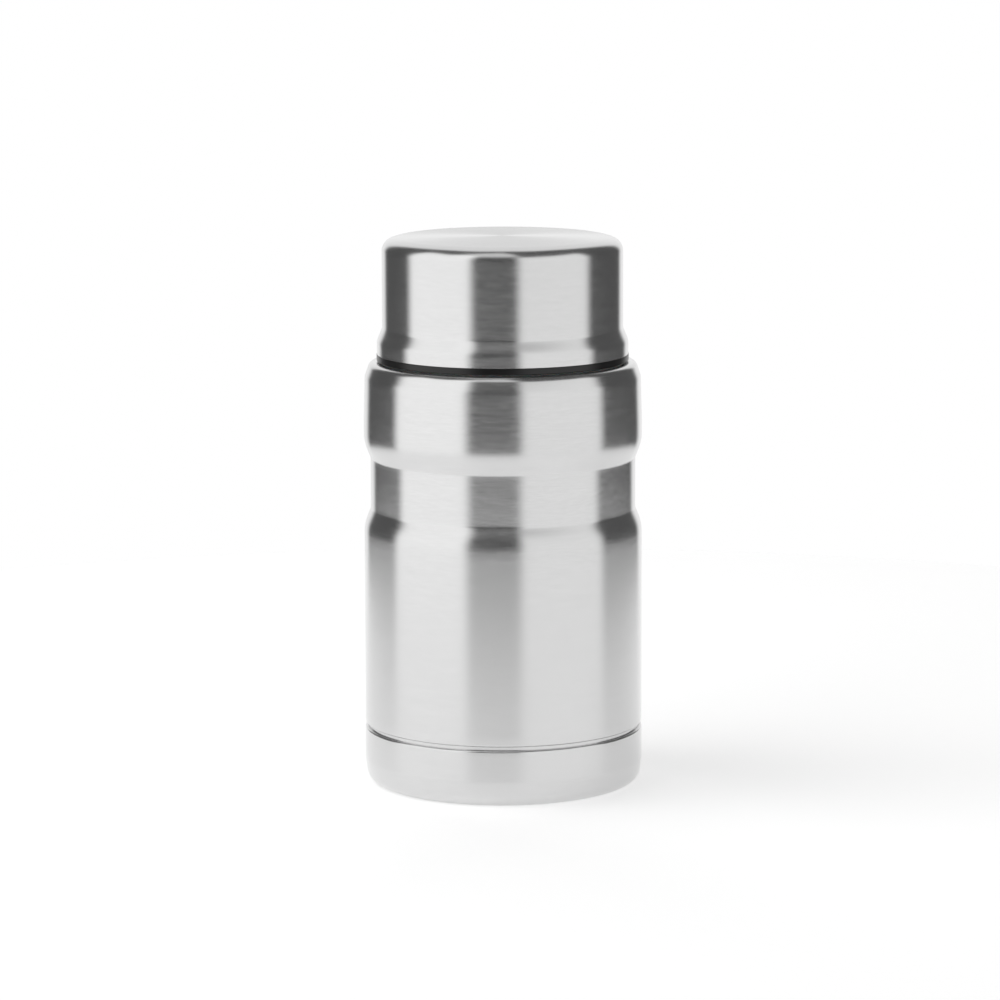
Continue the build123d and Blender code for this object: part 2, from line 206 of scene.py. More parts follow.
# ---------------------------------------------------------------- meshes
def turned_piece(name: str, outline: np.ndarray, around: int, relief: Relief | None = None) -> Piece:
    """Solid of revolution: x = r cos a, y = r sin a, z = h for each outline point (r, h) and angle a.

    Points on the axis become one pole. A relief adds to the radius, as a thread or flutes do.

    Args:
        name: Name of the new object.
        outline: Closed section in millimetres, anticlockwise.
        around: Points round the axis.
        relief: Change of radius for arrays of radius, height and angle.

    Returns:
        The object, at the origin, with its place in its mesh.
    """
    angle = np.arange(around)[None, :] * (TAU / around)
    radius = np.repeat(outline[:, :1], around, axis=1)
    height = np.repeat(outline[:, 1:], around, axis=1)
    if relief is not None:
        radius = radius + relief(radius, height, angle)
    places = np.stack([radius * np.cos(angle), radius * np.sin(angle), height], axis=-1) * MM

    index = np.arange(radius.size).reshape(radius.shape)
    pole = outline[:, 0] < AXIS_TOLERANCE
    index[pole] = index[pole, :1]
    above = np.roll(index, -1, axis=0)
    pole_above = np.roll(pole, -1)
    aside, above_aside = np.roll(index, -1, axis=1), np.roll(above, -1, axis=1)
    whole = ~pole & ~pole_above
    quads = np.stack([index[whole], aside[whole], above_aside[whole], above[whole]], axis=-1).reshape(-1, 4)
    closing = ~pole & pole_above
    opening = pole & ~pole_above
    tips = np.concatenate(
        [
            np.stack([index[closing], aside[closing], above[closing]], axis=-1).reshape(-1, 3),
            np.stack([index[opening], above_aside[opening], above[opening]], axis=-1).reshape(-1, 3),
        ]
    )
    return mesh_piece(name, places.reshape(-1, 3), quads, tips)


def mesh_piece(name: str, places: np.ndarray, quads: np.ndarray, tips: np.ndarray) -> Piece:
    """Object from arrays of places and faces, smooth except at real edges.

    Args:
        name: Name of the object and its mesh.
        places: Rows x, y, z in metres.
        quads: Rows of four place numbers.
        tips: Rows of three place numbers.

    Returns:
        The object, linked to the scene.
    """
    used, numbers = np.unique(np.concatenate([quads.ravel(), tips.ravel()]), return_inverse=True)
    counts = np.concatenate([np.full(len(quads), 4), np.full(len(tips), 3)])
    mesh = bpy.data.meshes.new(name)
    mesh.vertices.add(len(used))
    mesh.vertices.foreach_set("co", places[used].astype(np.float32).ravel())
    mesh.loops.add(len(numbers))
    mesh.loops.foreach_set("vertex_index", numbers.astype(np.int32))
    mesh.polygons.add(len(counts))
    mesh.polygons.foreach_set("loop_start", np.concatenate([[0], np.cumsum(counts)[:-1]]).astype(np.int32))
    mesh.update(calc_edges=True)
    mesh.validate()
    mesh.shade_smooth()
    mesh.set_sharp_from_angle(angle=SHARP_EDGE)
    piece = bpy.data.objects.new(name, mesh)
    bpy.context.scene.collection.objects.link(piece)
    return piece


def smooth(share: np.ndarray) -> np.ndarray:
    """Eased ramp 3s^2 - 2s^3 of a share held between 0 and 1."""
    held = np.clip(share, 0, 1)
    return held * held * (3 - 2 * held)


@dataclass(frozen=True)
class ScrewThread:
    """Rolled or moulded thread of several starts on a turned wall.

    A ridge's middle climbs by the lead each turn. Its height above the wall falls from the crest's
    half width to the root's half width with an eased flank, and eases out at both ends.
    """

    wall: float
    foot: float
    rise: float
    start_angle: float = 0.0
    outward: bool = True
    depth: float = 0.9
    pitch: float = 4.0
    starts: int = 2
    root_width: float = 2.2
    crest_width: float = 1.2
    runout: float = 0.5  # height over which a ridge eases out at its end

    def relief(self, radius: np.ndarray, height: np.ndarray, angle: np.ndarray) -> np.ndarray:
        """Change of radius that the ridges make.

        Args:
            radius: Radii of the wall's points.
            height: Heights of the points.
            angle: Angles round the axis.

        Returns:
            The change, zero away from the wall and the ridges.
        """
        lead = self.pitch * self.starts
        climb = self.foot + lead * (angle - math.radians(self.start_angle)) / TAU
        off = np.mod(height - climb + self.pitch / 2, self.pitch) - self.pitch / 2
        middle = height - off
        flank = (self.root_width - self.crest_width) / 2
        ridge = smooth((self.root_width / 2 - np.abs(off)) / flank)
        top = self.foot + self.rise
        ends = smooth((middle - self.foot) / self.runout) * smooth((top - middle) / self.runout)
        on_wall = np.abs(radius - self.wall) < WALL_TOLERANCE
        return np.where(on_wall, ridge * ends * self.depth * (1 if self.outward else -1), 0.0)


@dataclass(frozen=True)
class Flutes:
    """Finger grips round a flange: hollow cylinders of one radius, cut a little way into its wall."""

    wall: float
    count: int
    radius: float
    depth: float
    foot: float
    easing: float = 0.35  # height over which a flute ends above its foot
    reach: float = 0.85  # how far in from the wall points are still cut

    def relief(self, radius: np.ndarray, height: np.ndarray, angle: np.ndarray) -> np.ndarray:
        """Change of radius where c cos a - sqrt(f^2 - c^2 sin^2 a) lies inside the wall.

        Args:
            radius: Radii of the wall's points.
            height: Heights of the points.
            angle: Angles round the axis.

        Returns:
            The change, negative in the flutes.
        """
        centre = self.wall + self.radius - self.depth
        off = np.mod(angle + math.pi / self.count, TAU / self.count) - math.pi / self.count
        inside = np.maximum(self.radius**2 - (centre * np.sin(off)) ** 2, 0)
        face = np.where(inside > 0, centre * np.cos(off) - np.sqrt(inside), self.wall)
        cut = np.minimum(face - self.wall, 0) * smooth((height - self.foot) / self.easing)
        return np.where(radius > self.wall - self.reach, cut, 0.0)


# ---------------------------------------------------------------- materials
def linear(tint: str) -> tuple[float, float, float, float]:
    """Linear colour of an sRGB hex value.

    Args:
        tint: Six hex digits.

    Returns:
        Red, green, blue and alpha.
    """
    shares = [int(tint[place : place + 2], 16) / 255 for place in (0, 2, 4)]
    red, green, blue = (s / 12.92 if s <= 0.04045 else ((s + 0.055) / 1.055) ** 2.4 for s in shares)
    return red, green, blue, 1.0


def add_node(tree: Tree, kind: str, settings: dict | None = None, **inputs: object) -> bpy.types.Node:
    """Adds a shader node, sets its properties, and fills or links its inputs.

    Args:
        tree: Node tree of a material or world.
        kind: Node type after "ShaderNode".
        settings: Properties of the node.
        inputs: Input by name, with _ for a space, or in0, in1 by number: a value or an output socket.

    Returns:
        The node.
    """
    node = tree.nodes.new("ShaderNode" + kind)
    for name, value in (settings or {}).items():
        setattr(node, name, value)
    for name, value in inputs.items():
        numbered = name[:2] == "in" and name[2:].isdigit()
        socket = node.inputs[int(name[2:])] if numbered else node.inputs[name.replace("_", " ")]
        if isinstance(value, Socket):
            tree.links.new(value, socket)
        else:
            socket.default_value = value
    return node


def new_material(name: str) -> tuple[bpy.types.Material, Tree]:
    """Material with an empty node tree.

    Args:
        name: Name of the material.

    Returns:
        The material and its tree.
    """
    material = bpy.data.materials.new(name)
    material.use_nodes = True
    material.node_tree.nodes.clear()
    return material, material.node_tree


def maths(tree: Tree, operation: str, *terms: object) -> Socket:
    """Output of a Math node.

    Args:
        tree: Node tree.
        operation: Operation of the node.
        terms: Values or sockets.

    Returns:
        The output socket.
    """
    inputs = {f"in{number}": term for number, term in enumerate(terms)}
    return add_node(tree, "Math", {"operation": operation}, **inputs).outputs[0]


def two_tone(tree: Tree, value: Socket, shade: str, tint: str, low: float, high: float) -> Socket:
    """Colour that runs from a shade to a tint as a value goes from low to high.

    Args:
        tree: Node tree.
        value: The value, from a pattern.
        shade: Darker colour, as sRGB hex.
        tint: Lighter colour, as sRGB hex.
        low: Value that gives the shade.
        high: Value that gives the tint.

    Returns:
        The colour's output socket.
    """
    node = add_node(tree, "ValToRGB", Fac=value)
    for stop, place, colour in zip(node.color_ramp.elements, (low, high), (shade, tint)):
        stop.position = place
        stop.color = linear(colour)
    return node.outputs["Color"]


def along_the_turning(tree: Tree, around: float, across: float) -> Socket:
    """Coordinate for marks that run round the axis: the unit direction from the axis times around,
    and height less radius times across, which steps along a wall and a flat face alike.

    Args:
        tree: Node tree.
        around: Marks per radian, nearly.
        across: Marks per metre along the profile.

    Returns:
        Vector socket.
    """
    place = add_node(tree, "TexCoord").outputs["Object"]
    flat = add_node(tree, "VectorMath", {"operation": "MULTIPLY"}, in0=place, in1=(1.0, 1.0, 0.0)).outputs[0]
    radius = add_node(tree, "VectorMath", {"operation": "LENGTH"}, in0=flat).outputs["Value"]
    way = add_node(tree, "VectorMath", {"operation": "NORMALIZE"}, in0=flat).outputs[0]
    spread = add_node(tree, "VectorMath", {"operation": "SCALE"}, in0=way, Scale=around).outputs[0]
    height = add_node(tree, "SeparateXYZ", in0=place).outputs["Z"]
    step = maths(tree, "MULTIPLY", maths(tree, "SUBTRACT", height, radius), across)
    rise = add_node(tree, "CombineXYZ", Z=step).outputs[0]
    return add_node(tree, "VectorMath", {"operation": "ADD"}, in0=spread, in1=rise).outputs[0]


@dataclass(frozen=True)
class Finish:
    """What every finish has."""

    name: str
    slot: Slot
    tint: str

    def material(self) -> bpy.types.Material:
        """The finish as a Blender material, made once."""
        return bpy.data.materials.get(self.name) or self.make()

    def make(self) -> bpy.types.Material:
        """Builds the material."""
        raise NotImplementedError


@dataclass(frozen=True)
class TurnedSteel(Finish):
    """18/8 stainless steel, finished while it turns: brushed with a belt, or left as spun.

    The lines run round the axis, so lights stretch up and down a wall and fan out on a flat top.
    """

    shade: str  # tint at the bottom of the lines
    roughness: float
    roughness_swing: float
    anisotropy: float
    line: float  # mm between brush lines, drawn about three times as coarse as grit 240 leaves them
    stroke: float  # mm along one line
    line_depth: float  # mm
    wall: float = 50.0  # radius at which the stroke is true

    def make(self) -> bpy.types.Material:
        """Builds the material."""
        material, tree = new_material(self.name)
        strokes = self.wall / self.stroke
        fine_place = along_the_turning(tree, strokes, 1 / (self.line * MM))
        longer, wider = 4, 6  # size of the broad streaks beside the fine lines
        broad_place = along_the_turning(tree, strokes / longer, 1 / (self.line * wider * MM))
        fine = add_node(
            tree, "TexNoise", Vector=fine_place, Scale=1.0, Detail=2.0, Roughness=0.6
        ).outputs["Fac"]
        broad = add_node(tree, "TexNoise", Vector=broad_place, Scale=1.0, Detail=1.0).outputs["Fac"]
        lines = maths(tree, "ADD", maths(tree, "MULTIPLY", fine, 0.7), maths(tree, "MULTIPLY", broad, 0.3))
        colour = two_tone(tree, lines, self.shade, self.tint, 0.3, 0.7)
        low = self.roughness - self.roughness_swing
        high = self.roughness + self.roughness_swing
        rough = add_node(
            tree, "MapRange", Value=lines, From_Min=0.3, From_Max=0.7, To_Min=low, To_Max=high
        ).outputs["Result"]
        depth = self.line_depth * MM
        bump = add_node(tree, "Bump", Height=fine, Strength=1.0, Distance=depth).outputs[0]
        tangent = add_node(tree, "Tangent", {"direction_type": "RADIAL", "axis": "Z"}).outputs[0]
        shader = add_node(
            tree,
            "BsdfPrincipled",
            Base_Color=colour,
            Metallic=1.0,
            Roughness=rough,
            Anisotropic=self.anisotropy,
            Anisotropic_Rotation=0.25,
            Tangent=tangent,
            Normal=bump,
        )
        add_node(tree, "OutputMaterial", Surface=shader.outputs[0])
        return material


@dataclass(frozen=True)
class PlainMetal(Finish):
    """Metal left as rolled, drawn, pressed or melted, with a fine even mottle."""

    shade: str
    roughness: float
    grain: float  # mm
    grain_depth: float  # mm
    swing: float = 0.08  # how far the mottle changes the roughness each way

    def make(self) -> bpy.types.Material:
        """Builds the material."""
        material, tree = new_material(self.name)
        place = add_node(tree, "TexCoord").outputs["Object"]
        low, high = self.roughness - self.swing, self.roughness + self.swing
        noise = add_node(
            tree, "TexNoise", Vector=place, Scale=1 / (self.grain * MM), Detail=4.0, Roughness=0.55
        ).outputs["Fac"]
        colour = two_tone(tree, noise, self.shade, self.tint, 0.25, 0.75)
        rough = add_node(tree, "MapRange", Value=noise, To_Min=low, To_Max=high).outputs["Result"]
        bump = add_node(tree, "Bump", Height=noise, Distance=self.grain_depth * MM).outputs[0]
        shader = add_node(
            tree,
            "BsdfPrincipled",
            Base_Color=colour,
            Metallic=1.0,
            Roughness=rough,
            Normal=bump,
        )
        add_node(tree, "OutputMaterial", Surface=shader.outputs[0])
        return material


@dataclass(frozen=True)
class Moulded(Finish):
    """Moulded polymer: a spark-eroded grain from the mould, faintly uneven in tone and gloss."""

    shade: str
    roughness: float
    ior: float
    grain: float  # mm
    grain_depth: float  # mm
    subsurface: float = 0.0
    depth_of_light: float = 1.0  # mm that light travels under the surface
    cloud_size: float = 12.0  # mm
    glossier: float = 0.04  # how far the clouds lower the roughness
    duller: float = 0.06  # how far they raise it

    def make(self) -> bpy.types.Material:
        """Builds the material."""
        material, tree = new_material(self.name)
        place = add_node(tree, "TexCoord").outputs["Object"]
        low, high = self.roughness - self.glossier, self.roughness + self.duller
        grain = add_node(
            tree, "TexNoise", Vector=place, Scale=1 / (self.grain * MM), Detail=3.0, Roughness=0.6
        ).outputs["Fac"]
        cloud_scale = 1 / (self.cloud_size * MM)
        cloud = add_node(tree, "TexNoise", Vector=place, Scale=cloud_scale, Detail=2.0).outputs["Fac"]
        colour = two_tone(tree, cloud, self.shade, self.tint, 0.3, 0.7)
        rough = add_node(tree, "MapRange", Value=cloud, To_Min=low, To_Max=high).outputs["Result"]
        bump = add_node(tree, "Bump", Height=grain, Distance=self.grain_depth * MM).outputs[0]
        shader = add_node(
            tree,
            "BsdfPrincipled",
            Base_Color=colour,
            Roughness=rough,
            IOR=self.ior,
            Subsurface_Weight=self.subsurface,
            Subsurface_Scale=self.depth_of_light * MM,
            Normal=bump,
        )
        add_node(tree, "OutputMaterial", Surface=shader.outputs[0])
        return material


@dataclass(frozen=True)
class BeadFoam(Finish):
    """Expanded polystyrene: round beads pressed together, with darker seams between them."""

    seam: str
    bead: float  # mm across
    roughness: float = 0.85
    seam_share: float = 0.15  # width of a seam's shade beside a bead

    def make(self) -> bpy.types.Material:
        """Builds the material."""
        material, tree = new_material(self.name)
        place = add_node(tree, "TexCoord").outputs["Object"]
        cells = add_node(
            tree, "TexVoronoi", {"feature": "DISTANCE_TO_EDGE"}, Vector=place, Scale=1 / (self.bead * MM)
        ).outputs["Distance"]
        colour = two_tone(tree, cells, self.seam, self.tint, 0.0, self.seam_share)
        bump = add_node(tree, "Bump", Height=cells, Distance=self.bead / 4 * MM).outputs[0]
        shader = add_node(
            tree, "BsdfPrincipled", Base_Color=colour, Roughness=self.roughness, Normal=bump
        )
        add_node(tree, "OutputMaterial", Surface=shader.outputs[0])
        return material


# Belt-brushed stainless: soft silver with fine lines round the axis and long lights.
BRUSHED_STEEL = TurnedSteel(
    "brushed_stainless_steel",
    Slot.BRUSHED,
    tint="DBDBDB",
    shade="D5D5D5",
    roughness=0.22,
    roughness_swing=0.03,
    anisotropy=0.85,
    line=0.4,
    stroke=4.0,
    line_depth=0.002,
)
# Electropolished stainless: cleaner and brighter than the outside, with faint lines from spinning.
SATIN_STEEL = TurnedSteel(
    "electropolished_stainless_steel",
    Slot.SATIN,
    tint="E0E0E0",
    shade="D6D6D6",
    roughness=0.26,
    roughness_swing=0.02,
    anisotropy=0.6,
    line=0.5,
    stroke=14.0,
    line_depth=0.003,
)
# Cold-rolled stainless as it leaves the mill: dull grey with a soft mottle.
MILL_STEEL = PlainMetal(
    "mill_finish_stainless_steel",
    Slot.MILL,
    tint="C4C4C2",
    shade="B2B2B0",
    roughness=0.38,
    grain=0.4,
    grain_depth=0.004,
)
# Drawn spring wire: bright, with faint marks from the die.
SPRING_STEEL = PlainMetal(
    "drawn_stainless_spring_wire",
    Slot.SPRING,
    tint="CACAC8",
    shade="B6B6B6",
    roughness=0.24,
    grain=0.25,
    grain_depth=0.003,
)
# Polypropylene, moulded black: deep grey-black with a soft sheen from fine mould grain.
BLACK_PLASTIC = Moulded(
    "moulded_black_polypropylene",
    Slot.BLACK,
    tint="0F0F0F",
    shade="0B0B0B",
    roughness=0.28,
    ior=1.49,
    grain=0.12,
    grain_depth=0.003,
)
# Polypropylene, moulded dark grey: a shade lighter than the stopper, with a duller face.
GREY_PLASTIC = Moulded(
    "moulded_grey_polypropylene",
    Slot.GREY,
    tint="4B4B4D",
    shade="454547",
    roughness=0.36,
    ior=1.49,
    grain=0.15,
    grain_depth=0.004,
)
# Food-grade silicone: milky grey that lets light in at its edges, with a satin skin.
SILICONE = Moulded(
    "milky_silicone_rubber",
    Slot.SILICONE,
    tint="BDBEBD",
    shade="B4B5B4",
    roughness=0.5,
    ior=1.41,
    grain=0.2,
    grain_depth=0.004,
    subsurface=0.35,
    depth_of_light=1.5,
)
# Expanded polystyrene: white beads with a grainy, matt face.
WHITE_FOAM = BeadFoam("expanded_polystyrene", Slot.FOAM, tint="F1F0EC", seam="CFCDC6", bead=2.5)
# Tin solder, melted and set: dull warm grey with slow ripples.
SOLDER = PlainMetal(
    "set_tin_solder", Slot.SOLDER, tint="B4AFA4", shade="A09B90", roughness=0.4, grain=1.2, grain_depth=0.03
)
# Pressed zirconium powder: dark grey and grainy.
GETTER = PlainMetal(
    "pressed_zirconium_powder",
    Slot.GETTER,
    tint="7C7A78",
    shade="605E5C",
    roughness=0.7,
    grain=0.3,
    grain_depth=0.02,
)


# ---------------------------------------------------------------- sub-assemblies
class SubAssembly:
    """Group of pieces that is built and dressed together."""

    def build(self) -> list[Piece]:
        """Makes the pieces and returns them."""
        raise NotImplementedError

    def place(self, piece: Piece, body: Body, finish: Finish, *nodes: str) -> Piece:
        """Dresses a new piece, lets it ride on its body, and hides the CAD nodes that it stands for.

        Args:
            piece: The new object.
            body: Body that it moves with.
            finish: Its finish.
            nodes: CAD nodes that it replaces.

        Returns:
            The piece.
        """
        piece.data.materials.clear()
        piece.data.materials.append(finish.material())
        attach(piece, body.value)
        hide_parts(*nodes)
        return piece

    def dress(self, node: str, finish: Finish) -> Piece:
        """Gives a CAD node that stays as it is its finish.

        Args:
            node: Name of the node.
            finish: Its finish.

        Returns:
            The node's object.
        """
        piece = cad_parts[node]
        for slot in piece.material_slots:
            slot.material = finish.material()
        return piece


@dataclass
class Jar(SubAssembly):
    """Double-walled vessel: drawn shell, base cup, liner, and the closed bottom of the vacuum space."""

    outer_sheet: float = 0.45
    base_sheet: float = 0.4
    liner_sheet: float = 0.4
    bottom_sheet: float = 0.5
    body_radius: float = 50.0
    base_radius: float = 50.1
    spigot_radius: float = 49.0
    waist_radius: float = 47.65
    band_top_radius: float = 49.6
    shoulder_radius: float = 47.8
    neck_radius: float = 40.0
    spigot_z: float = 8.0
    base_height: float = 20.6
    body_foot_z: float = 21.9
    lower_step_z: float = 94.4
    waist_foot_z: float = 100.0
    waist_top_z: float = 118.6
    upper_step_z: float = 124.4
    belly_z: float = 131.2
    band_top_z: float = 147.8
    shoulder_z: float = 153.1
    lip_z: float = 166.4
    lip_bend: float = 0.75
    seam_gap: float = 0.05
    liner_radius: float = 43.8
    mouth_radius: float = 38.0
    liner_floor_z: float = 16.9
    liner_neck_z: float = 142.0
    mouth_foot_z: float = 149.3
    bottom_z: float = 13.0
    around: int = 256
    disc_around: int = 192

    def shell(self) -> Piece:
        """Outer wall from the spigot in the base cup to the threaded neck."""
        corners = [
            (self.spigot_radius, self.spigot_z, 0),
            (self.spigot_radius, self.body_foot_z, 0.2),
            (self.body_radius, self.body_foot_z, self.lip_bend),
            (self.body_radius, self.lower_step_z, 15.0),
            (self.waist_radius, self.waist_foot_z, 2.5),
            (self.waist_radius, self.waist_top_z, 2.5),
            (self.body_radius, self.upper_step_z, 14.0),
            (self.body_radius, self.belly_z, 220.0),
            (self.band_top_radius, self.band_top_z, 6.0),
            (self.shoulder_radius, self.shoulder_z, 2.5),
            (self.neck_radius, self.shoulder_z, 1.0),
            (self.neck_radius, self.lip_z - self.liner_sheet, 0),
        ]
        steps = [RUN_STEP, RUN_STEP, WALL_STEP] + [RUN_STEP] * (len(corners) - 5) + [THREAD_STEP]
        outline = sheet_outline(corners, self.outer_sheet, Side.LEFT, steps)
        thread = ScrewThread(self.neck_radius, foot=156.5, rise=6.4)
        return turned_piece("shell_wall", outline, self.around, thread.relief)

    def cup(self) -> Piece:
        """Base cup with its rolled lip, foot ring and raised panel."""
        foot_radius = self.base_radius - 1.0
        ring_radius = foot_radius - 11.1
        taper_z = 8.9
        panel_z = 1.5
        corners = [
            (self.spigot_radius + self.seam_gap, self.base_height, 0),
            (self.base_radius, self.base_height, self.lip_bend),
            (self.base_radius, taper_z, 10.0),
            (foot_radius, 0, 4.5),
            (ring_radius, 0, 1.5),
            (ring_radius - panel_z, panel_z, 1.5),
            (0, panel_z, 0),
        ]
        return turned_piece(
            "base_cup_wall", sheet_outline(corners, self.base_sheet, Side.RIGHT, RUN_STEP), self.around
        )

    def liner(self) -> Piece:
        """Food side: rounded floor, straight wall, drawn-in threaded mouth and rolled lip."""
        corners = [
            (0, self.liner_floor_z, 0),
            (self.liner_radius, self.liner_floor_z, 8.5),
            (self.liner_radius, self.liner_neck_z, 4.0),
            (self.mouth_radius, self.mouth_foot_z, 4.0),
            (self.mouth_radius, self.lip_z, 1.0),
            (self.neck_radius, self.lip_z, 0),
        ]
        steps = [HIDDEN_STEP, HIDDEN_STEP, RUN_STEP, THREAD_STEP, RUN_STEP]
        outline = sheet_outline(corners, self.liner_sheet, Side.RIGHT, steps)
        thread = ScrewThread(self.mouth_radius, foot=156.8, rise=6.0, outward=False)
        return turned_piece("liner_wall", outline, self.around, thread.relief)

    def closing_disc(self) -> Piece:
        """Disc with a flange and a dimple, which closes the vacuum space."""
        flange = self.spigot_radius - self.outer_sheet - self.seam_gap
        hole_radius = 0.8
        dimple_z = self.bottom_z + 1.2
        corners = [
            (hole_radius, dimple_z, 0),
            (4.5, dimple_z, 1.0),
            (6.5, self.bottom_z, 1.0),
            (flange, self.bottom_z, 2.0),
            (flange, self.spigot_z, 0),
        ]
        outline = sheet_outline(corners, self.bottom_sheet, Side.RIGHT, HIDDEN_STEP)
        return turned_piece("vacuum_disc", outline, self.disc_around)

    def build(self) -> list[Piece]:
        """Makes the jar's pieces."""
        return [
            self.place(self.shell(), Body.JAR, BRUSHED_STEEL, "outer_shell"),
            self.place(self.cup(), Body.JAR, BRUSHED_STEEL, "base_cup"),
            self.place(self.liner(), Body.JAR, SATIN_STEEL, "inner_liner"),
            self.place(self.closing_disc(), Body.JAR, MILL_STEEL, "vacuum_bottom"),
            self.dress("vacuum_seal_bead", SOLDER),
            self.dress("getter_pellet", GETTER),
            self.dress("getter_clip", MILL_STEEL),
        ]


@dataclass
class Lid(SubAssembly):
    """Screw-on lid that doubles as a bowl: two steel cups on a moulded threaded collar, and its seal."""

    sheet: float = 0.4
    seam_gap: float = 0.05
    rim_radius: float = 45.1
    lid_radius: float = 43.2
    crown_flat_radius: float = 20.0
    crown_edge_radius: float = 38.0
    bowl_radius: float = 40.9
    collar_bore_radius: float = 41.2
    collar_radius: float = 44.6
    collar_foot_z: float = 153.6
    rim_z: float = 156.0
    flare_z: float = 160.7
    lid_wall_z: float = 165.3
    crown_corner_z: float = 196.3
    crown_edge_z: float = 197.7
    lid_top_z: float = 198.2
    bowl_floor_z: float = 195.2
    collar_top_z: float = 166.8
    shoulder_z: float = 153.1
    rim_bend: float = 5.0
    flare_bend: float = 2.0
    around: int = 256
    seal_around: int = 192

    def outer_cup(self) -> Piece:
        """Outside of the lid: rim, flare, straight wall and a faintly domed crown."""
        corners = [
            (self.rim_radius, self.rim_z, 0),
            (self.rim_radius, self.flare_z, self.rim_bend),
            (self.lid_radius, self.lid_wall_z, self.flare_bend),
            (self.lid_radius, self.crown_corner_z, 4.4),
            (self.crown_edge_radius, self.crown_edge_z, 8.0),
            (self.crown_flat_radius, self.lid_top_z, 400.0),
            (0, self.lid_top_z, 0),
        ]
        return turned_piece("lid_cup", sheet_outline(corners, self.sheet, Side.LEFT, RUN_STEP), self.around)

    def bowl(self) -> Piece:
        """Inside of the lid, a bowl with a lip that rests on the collar."""
        corners = [
            (0, self.bowl_floor_z, 0),
            (self.bowl_radius, self.bowl_floor_z, 3.0),
            (self.bowl_radius, self.collar_top_z, 1.0),
            (self.lid_radius - self.sheet - self.seam_gap, self.collar_top_z, 0),
        ]
        return turned_piece("lid_bowl", sheet_outline(corners, self.sheet, Side.LEFT, RUN_STEP), self.around)

    def collar(self) -> Piece:
        """Moulded ring with the lid's thread; its flange is the black line under the steel rim."""
        inset = self.sheet + 2 * self.seam_gap
        lean = math.atan2(self.rim_radius - self.lid_radius, self.lid_wall_z - self.flare_z)
        shift = inset * math.tan(lean / 2)
        flange = self.rim_radius + 0.15
        groove_inner = self.collar_bore_radius + 0.8
        groove_outer = groove_inner + 1.8
        groove_top = self.shoulder_z + 1.5
        edge = 0.15
        corners = [
            (self.collar_bore_radius, self.collar_foot_z, edge),
            (groove_inner, self.collar_foot_z, edge),
            (groove_inner, groove_top, edge),
            (groove_outer, groove_top, edge),
            (groove_outer, self.collar_foot_z, edge),
            (flange, self.collar_foot_z, 0.3),
            (flange, self.rim_z, 0.3),
            (self.collar_radius, self.rim_z, 0),
            (self.collar_radius, self.flare_z - shift, self.rim_bend - inset),
            (self.lid_radius - inset, self.lid_wall_z - shift, self.flare_bend + inset),
            (self.lid_radius - inset, self.collar_top_z, edge),
            (self.collar_bore_radius, self.collar_top_z, edge),
        ]
        step = 0.35
        thread = ScrewThread(self.collar_bore_radius, foot=156.5, rise=6.4, start_angle=90.0, outward=False)
        return turned_piece("collar_ring", ring_outline(corners, step), self.around, thread.relief)

    def seal(self) -> Piece:
        """Silicone ring that the collar presses on the shoulder."""
        inner = self.collar_bore_radius + 1.1
        outer = inner + 1.2
        top = self.shoulder_z + 1.5
        edge = 0.3
        corners = [
            (inner, self.shoulder_z, edge),
            (outer, self.shoulder_z, edge),
            (outer, top, edge),
            (inner, top, edge),
        ]
        return turned_piece("lid_seal_ring", ring_outline(corners), self.seal_around)

    def build(self) -> list[Piece]:
        """Makes the lid's pieces."""
        return [
            self.place(self.outer_cup(), Body.LID, BRUSHED_STEEL, "lid_outer_cup"),
            self.place(self.bowl(), Body.LID, SATIN_STEEL, "lid_inner_cup"),
            self.place(self.collar(), Body.LID, BLACK_PLASTIC, "lid_collar"),
            self.place(self.seal(), Body.LID_GASKET, SILICONE, "lid_seal"),
        ]


